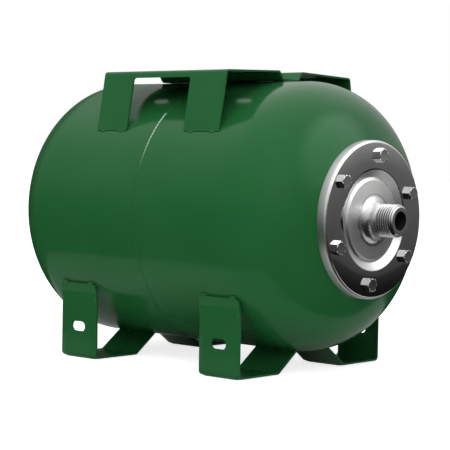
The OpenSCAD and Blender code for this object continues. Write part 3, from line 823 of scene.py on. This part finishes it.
def foot_grids(at_x, side):
    for inset in (0.0, FOOT_T):
        columns = [foot_column(x, inset) for x in foot_columns]
        yield [[(at_x + x, side * column[i].real, column[i].imag)
                for x, column in zip(foot_columns, columns)] for i in range(len(columns[0]))]


# The lip has a top, two rows between and nine in its bend
row, column = 1 + 2 + 9 + len(above_slot), len(edge_columns)
slot_cells = range(row, row + len(beside_slot) - 1), range(column, column + 10)
for end, at_x in FOOT_X.items():
    for hand, side in FOOT_Y.items():
        cad_node = "foot_" + end + "_" + hand
        bm = bmesh.new()
        outer, inner = foot_grids(at_x, side)
        rim = slot_rim((at_x, FOOT_SLOT_Z), axes=(0, 2), **FOOT_SLOT)
        sheet_solid(bm, outer, inner, holes=[(*slot_cells, rim)])
        add_piece(cad_node + "_sheet", bm, green_paint, cad_node, sharp=35)

# %% [markdown]
# ## The pump platform
# One sheet again: a trough that rests on the crest of the shell, two decks that fall slightly
# outwards, and side plates that end in four legs. The window between the legs is made by leaving
# cells out, and its rounded corners by lowering the edge of the band.

# %% Section of the platform
DECK_L, DECK_T, DECK_MID, DECK_EDGE = 174.4, 2.0, -199.4, 148.1
LEG_LEAN = math.radians(9.7)
leg_way = complex(math.sin(LEG_LEAN), -math.cos(LEG_LEAN))
leg_side = leg_way * 1j
deck_half = [complex(12, SHELL_R + FIT + DECK_T), complex(18, 150.8), complex(101, DECK_EDGE)]
DECK_RADII = [0, 2, 4, 4, 0]
DECK_FALL = (deck_half[1].imag - deck_half[2].imag) / (deck_half[2].real - deck_half[1].real)
WINDOW = (DECK_MID - DECK_L / 2 + 44.0, DECK_MID + DECK_L / 2 - 48.3)
WINDOW_Z, WINDOW_R, LEG_ROWS = DECK_EDGE - 7.0, 3.0, 8
leg_end = to_shell(deck_half[2] - leg_side * DECK_T, leg_way) + leg_side * DECK_T + 2 * leg_way
deck_y = [28, 36, 44, 50, 53, 56, 59, 62, 65, 68, 71, 74, 80, 88]


def window_gap(x):
    """Distance inside the window from its nearest upright edge."""
    return min(x - WINDOW[0], WINDOW[1] - x)


def deck_rows(x, inset):
    """Half a section, from the middle of the trough to the end of the leg."""
    path = [complex(0, deck_half[0].imag)] + deck_half + [leg_end]
    _, foot, brink, edge, last = bent(path, DECK_RADII, inset)
    start = complex(0, foot[0].imag)
    gap = min(max(0.0, window_gap(x)), WINDOW_R)
    low = WINDOW_Z - (WINDOW_R - math.sqrt(WINDOW_R**2 - (WINDOW_R - gap) ** 2))
    hem = edge[-1] + leg_way * (edge[-1].imag - low) / -leg_way.imag
    end = min(last[0], to_shell(edge[-1], leg_way), key=lambda p: -p.imag)
    a, b = brink[-1], edge[0]
    deck = [a + (b - a) * (y - a.real) / (b.real - a.real) for y in deck_y]
    return ([start] + spread(start, foot[0], 2) + foot + brink + deck + edge
            + spread(edge[-1], hem, 1) + [hem] + spread(hem, end, LEG_ROWS - 2) + [end])


# %% Columns across the platform, closer at the window and the slots
PUMP_X, PUMP_Y, PUMP_SLOT = 60, 62, {"half_l": 11, "half_w": 4.5, "r": 4.5}
CELLS_X, CELLS_Y = 14, 9
nicks = [0, 0.25, 0.7, 1.3, 2.1, 3.0]
all_columns = sorted({DECK_MID - DECK_L / 2, DECK_MID + DECK_L / 2}
                     | {WINDOW[0] + k for k in nicks} | {WINDOW[1] - k for k in nicks}
                     | {DECK_MID + s * PUMP_X + k for s in (-1, 1)
                        for k in range(-CELLS_X, CELLS_X + 1, 2)})
deck_columns = [x for x, before in zip(all_columns, [-math.inf] + all_columns)
                if x - before > 0.12]
print("platform:", len(deck_columns), "columns,", len(deck_rows(DECK_MID, 0)), "rows a side")


# %% One folded sheet with its window and slots
def deck_grid(inset):
    halves = [deck_rows(x, inset) for x in deck_columns]
    right = [[(x, h[i].real, h[i].imag) for x, h in zip(deck_columns, halves)]
             for i in range(len(halves[0]))]
    left = [[(x, -y, z) for x, y, z in row] for row in right[:0:-1]]
    return left + right


def leg_or_band(i, j):
    """True for a cell outside the window."""
    half = len(deck_rows(DECK_MID, 0))
    h = min(abs(i - half + 1), abs(i + 2 - half))
    x = (deck_columns[j] + deck_columns[j + 1]) / 2
    return h < half - LEG_ROWS or window_gap(x) < 0


def pump_slots(grid):
    """Cells and rim of each slot, two on either deck."""
    middle = len(grid) // 2
    for side in (-1, 1):
        rows = [i for i in range(len(grid) - 1) if side * (i - middle) >= 0
                and abs(abs(grid[i][0][1] + grid[i + 1][0][1]) / 2 - PUMP_Y) < CELLS_Y]
        for end in (-1, 1):
            x = DECK_MID + end * PUMP_X
            columns = [j for j in range(len(deck_columns) - 1)
                       if abs((deck_columns[j] + deck_columns[j + 1]) / 2 - x) < CELLS_X]
            rim = slot_rim((x, side * PUMP_Y), axes=(0, 1), tilt=-side * DECK_FALL, **PUMP_SLOT)
            yield rows, columns, rim


bm = bmesh.new()
outer, inner = deck_grid(0.0), deck_grid(DECK_T)
sheet_solid(bm, outer, inner, leg_or_band, list(pump_slots(outer)))
add_piece("pump_platform_sheet", bm, green_paint, "pump_platform", sharp=35)

# %% [markdown]
# ## Welds
# Short beads hold the feet and the platform, and one long bead joins the halves. A hand-held
# torch leaves a scale for each dip of the wire, so a bead is a round bar whose radius swells and
# falls along its length. The same bead is set on a list of points, stretched to each length.

# %% A tree for the short beads
BEAD = {"Radius": 1.6, "Scales": 4.0}


def bead_tree():
    """A bead 1 mm long at each point, stretched there to the length the point carries."""
    tree, size = new_tree("weld_bead", **BEAD)
    grid, around, along = flat_grid(tree, 25, 41)
    full = 1 - (along * 2).calc("ABSOLUTE").calc("POWER", 4.0)
    ripple = 1 + (along * math.tau * size["Scales"]).calc("SINE") * 0.045
    radius = size["Radius"] * full.calc("MAXIMUM", 0.0).calc("SQRT") * ripple
    bead = placed(tree, grid, round_axis(tree, along, radius, around * math.tau))
    bead = node(tree, "GeometryNodeMergeByDistance", {}, {"Geometry": bead, "Distance": 0.001})
    span = node(tree, "GeometryNodeInputNamedAttribute", {"data_type": "FLOAT"}, {"Name": "span"})
    stretch = node(tree, "ShaderNodeCombineXYZ", {}, {0: span, 1: 1.0, 2: 1.0})
    sets = node(tree, "GeometryNodeInstanceOnPoints", {}, {
        "Points": size["Geometry"], "Instance": bead, "Scale": stretch})
    end_tree(tree, sets, green_paint)
    return tree


def beads(name, places, cad_node):
    """A piece with a bead at each (x, y, z, length)."""
    mesh = bpy.data.meshes.new(name)
    mesh.from_pydata([place[:3] for place in places], [], [])
    spans = mesh.attributes.new("span", "FLOAT", "POINT")
    spans.data.foreach_set("value", [place[3] for place in places])
    result = grown(name, mesh, bead_tree(), **BEAD)
    add_piece(name, from_mesh(result), green_paint, cad_node, sharp=60)


def both_sides(places):
    return [(x, side * y, z, span) for x, y, z, span in places for side in (1, -1)]


print("a bead is", 2 * BEAD["Radius"], "mm thick")

# %% Where the short beads lie
TACK = 8.0
lip_tack = LIP_TOP + (1 + 0.8j) * cmath.exp(-1j * math.radians(13))
brace_tack = foot_column(0, FOOT_T)[-1]
leg_tack = leg_end - leg_side * DECK_T + (1 - 0.8j) * cmath.exp(1j * LEG_LEAN)
foot_beads = [(at_x + s * dx, p.real, p.imag, TACK) for at_x in FOOT_X.values() for s in (-1, 1)
              for dx, p in ((19.5, lip_tack), (10.0, brace_tack))]
legs = [(WINDOW[1], DECK_MID + DECK_L / 2), (DECK_MID - DECK_L / 2, WINDOW[0])]
deck_beads = [((a + b) / 2 + s * 0.3 * (b - a), leg_tack.real, leg_tack.imag, TACK)
              for a, b in legs for s in (-1, 1)]
# Two stitches along each side of the trough
deck_beads += [(x, 13.56, SHELL_R, span) for x, span in ((-144.0, 6.4), (-190.7, 17.0))]
beads("foot_beads", both_sides(foot_beads), "foot_welds")
beads("platform_beads", both_sides(deck_beads), "platform_welds")

# %% [markdown]
# The bead round the seam is wider and flatter. Along its crest on top, a pale line is painted in
# its colour as a highlight.

# %% The coat on the seam, with a painted highlight on its crest
def seam_coat_with_painted_highlight(tree, where):
    looks = powder_coat(tree, where)
    _, _, up = parts(tree, where)
    # Painted highlight: the crest of the bead is coloured pale near the top of the tank.
    high = ramp(tree, up, 0.20, 0.26) * (1 - ramp(tree, up, 0.263, 0.266))
    crest = ramp(tree, axis_distance(tree, where), 0.1404, 0.1408)
    looks["Base Color"] = mix(tree, crest * high * 0.8, looks["Base Color"], (0.6, 0.72, 0.62, 1))
    return looks


seam_paint_with_highlight = finish("seam_powder_coat_painted_highlight", seam_coat_with_painted_highlight)

# %% The long bead round the seam
SEAM = {"Radius": 139.6, "Height": 1.3, "Width": 4.4, "Scales": 220}


def seam_tree():
    tree, size = new_tree("seam_bead", **SEAM)
    grid, around, up = flat_grid(tree, 8 * SEAM["Scales"] + 1, 9)
    angle, across = around * math.tau, up * 2
    round_top = 1 - across * across
    ripple = 0.9 + (angle * size["Scales"] + round_top * 1.6).calc("SINE") * 0.1
    radius = size["Radius"] + size["Height"] * round_top * ripple
    way = across * size["Width"] * 0.5 + SEAM_X
    ring = placed(tree, grid, round_axis(tree, way, radius, angle))
    end_tree(tree, ring, seam_paint_with_highlight)
    return tree


bm = from_mesh(grown("seam", bpy.data.meshes.new("seam"), seam_tree(), **SEAM))
bmesh.ops.remove_doubles(bm, verts=bm.verts, dist=0.0005)
bmesh.ops.bridge_loops(bm, edges=[e for e in bm.edges if len(e.link_faces) == 1])
add_piece("girth_bead", bm, seam_paint_with_highlight, "girth_weld", sharp=60)

# %% [markdown]
# ## The air valve
# A cap with a fluted side protects the valve in the middle of the other end. The flutes follow a
# rule, so the outline of the cap is one formula: its radius falls at twenty places.

# %% Protective cap
CAP_R, FLUTES, FLUTE_DEPTH = 13.5, 20, 0.55


def cap_ring(h, shrink, fluted=False):
    """A ring at height h above the shell, smaller than the cap by shrink."""
    points = []
    for k in range(240):
        angle = math.tau * k / 240
        flute = max(0.0, math.cos(FLUTES * angle)) ** 2 * FLUTE_DEPTH if fluted else 0.0
        p = cmath.rect(CAP_R - shrink - flute, angle)
        points.append((REAR_APEX - h, p.real, p.imag))
    return points


bm = bmesh.new()
foot_rings = [cap_ring(1.3, 3.2), cap_ring(1.3, 0.6), cap_ring(1.8, 0.1), cap_ring(3.4, 0.0)]
grip_rings = [cap_ring(3.8, 0.3, True), cap_ring(20.6, 0.3, True)]
top_rings = [cap_ring(21.6, 0.9), cap_ring(22.3, 2.2), cap_ring(22.8, 4.5), cap_ring(23.1, 8),
             cap_ring(23.3, 12)]
loft(bm, foot_rings + grip_rings + top_rings)
add_piece("valve_dust_cap", bm, black_plastic, "valve_cap", sharp=40)

# %% [markdown]
# ## Pieces that stay
# Some pieces lie inside or under others, and their solids already have the right shape. They keep
# their meshes and only take a finish.

# %% Finishes of the pieces that stay as the CAD gives them
STAYING = {"counter_ring": raw_steel, "weld_nuts": raw_steel, "nipple_weld": raw_steel,
           "bladder": rubber, "valve_boss": green_paint, "valve_seal": rubber,
           "valve_stem": brass, "valve_core": brass}
for name, material in STAYING.items():
    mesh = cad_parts[name].data
    mesh.materials.clear()
    mesh.materials.append(material)
print("finished as the CAD gives them:", ", ".join(STAYING))

# %% [markdown]
# ## The studio
# The tank stands on a white floor under a wide soft light. What glossy paint and zinc mirror
# matters as much as the light. So a tent, a small table with a painted shadow and glow, a white
# card and dark ground are there for reflections alone, and the camera doesn't see them.

# %% Materials, sheets and lamps of the studio
def seen_rays(tree):
    """1 for a ray from the camera, off a mirror or through glass, and 0 for one that lights."""
    rays = node(tree, "ShaderNodeLightPath", out=None)
    camera, mirror, glass = (Wire(tree, rays.outputs["Is " + kind + " Ray"])
                             for kind in ("Camera", "Glossy", "Transmission"))
    return camera.calc("MAXIMUM", mirror).calc("MAXIMUM", glass)


def stage_material(name, shade):
    """shade gets the tree and the place, and returns the grey of the surface and its glow."""
    material = bpy.data.materials.new(name)
    tree = empty_tree(material)
    grey, glow = shade(tree, node(tree, "ShaderNodeTexCoord", out="Object"))
    colour = (grey, grey, grey, 1)
    if isinstance(grey, Wire):
        colour = mix(tree, grey, (0, 0, 0, 1), (1, 1, 1, 1))
    flat = node(tree, "ShaderNodeBsdfDiffuse", {}, {"Color": colour})
    light = node(tree, "ShaderNodeEmission", {}, {"Strength": seen_rays(tree) * glow})
    both = node(tree, "ShaderNodeAddShader", {}, {0: flat, 1: light})
    node(tree, "ShaderNodeOutputMaterial", {}, {"Surface": both}, None)
    return material


def stage_mesh(name, points, faces, material):
    mesh = bpy.data.meshes.new(name)
    mesh.from_pydata(points, [], faces)
    mesh.materials.append(material)
    thing = bpy.data.objects.new(name, mesh)
    bpy.context.collection.objects.link(thing)
    print("studio:", name)
    return thing


def level(shade, x0, y0, x1, y1, z):
    """A level sheet with its own shade, and named after it."""
    points = [(x0, y0, z), (x1, y0, z), (x1, y1, z), (x0, y1, z)]
    name = shade.__name__
    return stage_mesh(name, points, [(0, 1, 2, 3)], stage_material(name, shade))


def reach(tree, where, long=1.0, wide=1.0):
    """Distance from the middle of the stage, with each way divided by its own length."""
    sockets = {0: where, 1: (long, wide, 1)}
    scaled = node(tree, "ShaderNodeVectorMath", {"operation": "DIVIDE"}, sockets)
    return node(tree, "ShaderNodeVectorMath", {"operation": "LENGTH"}, {0: scaled}, 1)


def area_light(name, place, target, width, energy):
    data = bpy.data.lights.new(name, "AREA")
    data.shape = "SQUARE"
    data.size, data.energy = width, energy
    lamp = bpy.data.objects.new(name, data)
    bpy.context.collection.objects.link(lamp)
    lamp.location = place
    lamp.rotation_euler = (Vector(target) - Vector(place)).to_track_quat("-Z", "Y").to_euler()
    print("lamp:", name, energy, "W")


# %% [markdown]
# The floor is the only sheet that the camera sees, and it keeps the tank's shadow. Paint mirrors
# the table below it as a lighter band low on the shell, the zinc mirrors the card, and dark
# ground beyond keeps the rest of the reflections deep.

# %% Floor, table, card and ground
WIDE = (-9, -9, 9, 9)


def white_floor(tree, where):
    return 0.9, 0.78 + ramp(tree, reach(tree, where), 0.35, 1.6) * 0.17


# Painted shadow and light: the table is dark under the tank and pale, with a glow, towards its
# edge.
def table_painted_shadow_and_glow(tree, where):
    edge = ramp(tree, reach(tree, where, 0.32, 0.27), 0.25, 0.7)
    return 0.06 + edge * 0.64, edge * 0.2


def reflector_card(tree, where):
    return 0.8, 0.2


def dark_ground(tree, where):
    return 0.02 + ramp(tree, reach(tree, where), 0.8, 1.6) * 0.06, 0.0


floor = level(white_floor, *WIDE, 0)
floor.visible_glossy = floor.visible_shadow = False
for ground in (level(table_painted_shadow_and_glow, -0.31, -0.25, 0.23, 0.25, -0.001),
               level(reflector_card, 0.28, 0.06, 0.58, 0.3, -0.001),
               level(dark_ground, *WIDE, -0.002)):
    ground.visible_camera = ground.visible_diffuse = False

# %% [markdown]
# The tent is a dome that is dark at the horizon and bright above, which gives the shell its
# depth. A brighter panel beyond the flange gives the zinc its highlights, and a dark part behind
# the tank keeps the edges of the paint deep green.

# %% The tent
TENT_R = 1.5
PANEL = tuple(TENT_R * v for v in (0.77, 0.32, 0.55))
DARK_PART = tuple(TENT_R * v for v in (-0.93, 0.25, 0.26))
AROUND, UPWARD = 64, 24


def tent_material():
    material = bpy.data.materials.new("tent_cloth")
    tree = empty_tree(material)
    place = node(tree, "ShaderNodeTexCoord", out="Object")
    ahead, side, height = (part / TENT_R for part in parts(tree, place))
    greys = ((0.0, 0.05), (0.14, 0.12), (0.34, 0.52), (0.6, 0.86), (1.0, 1.6))
    shade = node(tree, "ShaderNodeValToRGB", {
        "stops": [(stop, (grey, grey, grey, 1)) for stop, grey in greys]}, {"Fac": height})
    from_panel, from_dark = (
        node(tree, "ShaderNodeVectorMath", {"operation": "DISTANCE"}, {0: place, 1: spot}, 1)
        for spot in (PANEL, DARK_PART))
    bright = (1 - ramp(tree, from_panel, 0.35, 0.8)) * 2.2
    uncovered = 0.2 + ramp(tree, from_dark, 0.45, 1.0) * 0.8
    glow = node(tree, "ShaderNodeEmission", {}, {
        "Color": mix(tree, uncovered, (0, 0, 0, 1), shade),
        "Strength": 1 + bright + side * 0.1 + ahead * 0.2})
    node(tree, "ShaderNodeOutputMaterial", {}, {"Surface": glow}, None)
    return material


def tent_point(turn, rise):
    flat = cmath.rect(TENT_R * math.cos(rise), turn)
    return flat.real, flat.imag, TENT_R * math.sin(rise)


points = [tent_point(math.tau * k / AROUND, math.pi / 2 * i / UPWARD)
          for i in range(UPWARD + 1) for k in range(AROUND + 1)]
row = AROUND + 1
quads = [(row * i + k, row * i + k + 1, row * i + k + row + 1, row * i + k + row)
         for i in range(UPWARD) for k in range(AROUND)]
tent = stage_mesh("light_tent", points, quads, tent_material())
tent.visible_camera = tent.visible_shadow = tent.visible_diffuse = False

# %% World and lamps
world = bpy.data.worlds.new("studio")
bpy.context.scene.world = world
tree = empty_tree(world)
strength = 0.35 + seen_rays(tree) * 0.65
sky = node(tree, "ShaderNodeBackground", {}, {"Color": (1, 1, 1, 1), "Strength": strength})
node(tree, "ShaderNodeOutputWorld", {}, {"Surface": sky}, None)
area_light("overhead_softbox", (0.1, -0.9, 2.0), (0, 0, 0.2), 3.0, 47)
area_light("side_softbox", (1.9, -1.5, 1.1), (0, 0, 0.15), 1.2, 13)

# %% [markdown]
# ## The camera
# The position and the lens were worked out from the outline of the shell and the flange in the
# photograph, so the render has the same view. The three directions of the camera are the rows of
# its turn.

# %% Camera
RIGHT = Vector((0.74382, 0.66812, 0.01883))
UP = Vector((-0.04571, 0.02274, 0.99870))
BACK = Vector((0.66682, -0.74371, 0.04746))
camera = bpy.data.objects.new("camera", bpy.data.cameras.new("camera"))
bpy.context.collection.objects.link(camera)
camera.matrix_world = Matrix.Translation((1.166615, -1.28988, 0.22844)) @ Matrix(
    (RIGHT, UP, BACK)).transposed().to_4x4()
camera.data.sensor_fit = "HORIZONTAL"
camera.data.sensor_width = 36
camera.data.lens = 127.6
camera.data.clip_end = 50
bpy.context.scene.camera = camera
bpy.context.scene.view_settings.view_transform = "Standard"
print("lens:", round(camera.data.lens, 1), "mm")
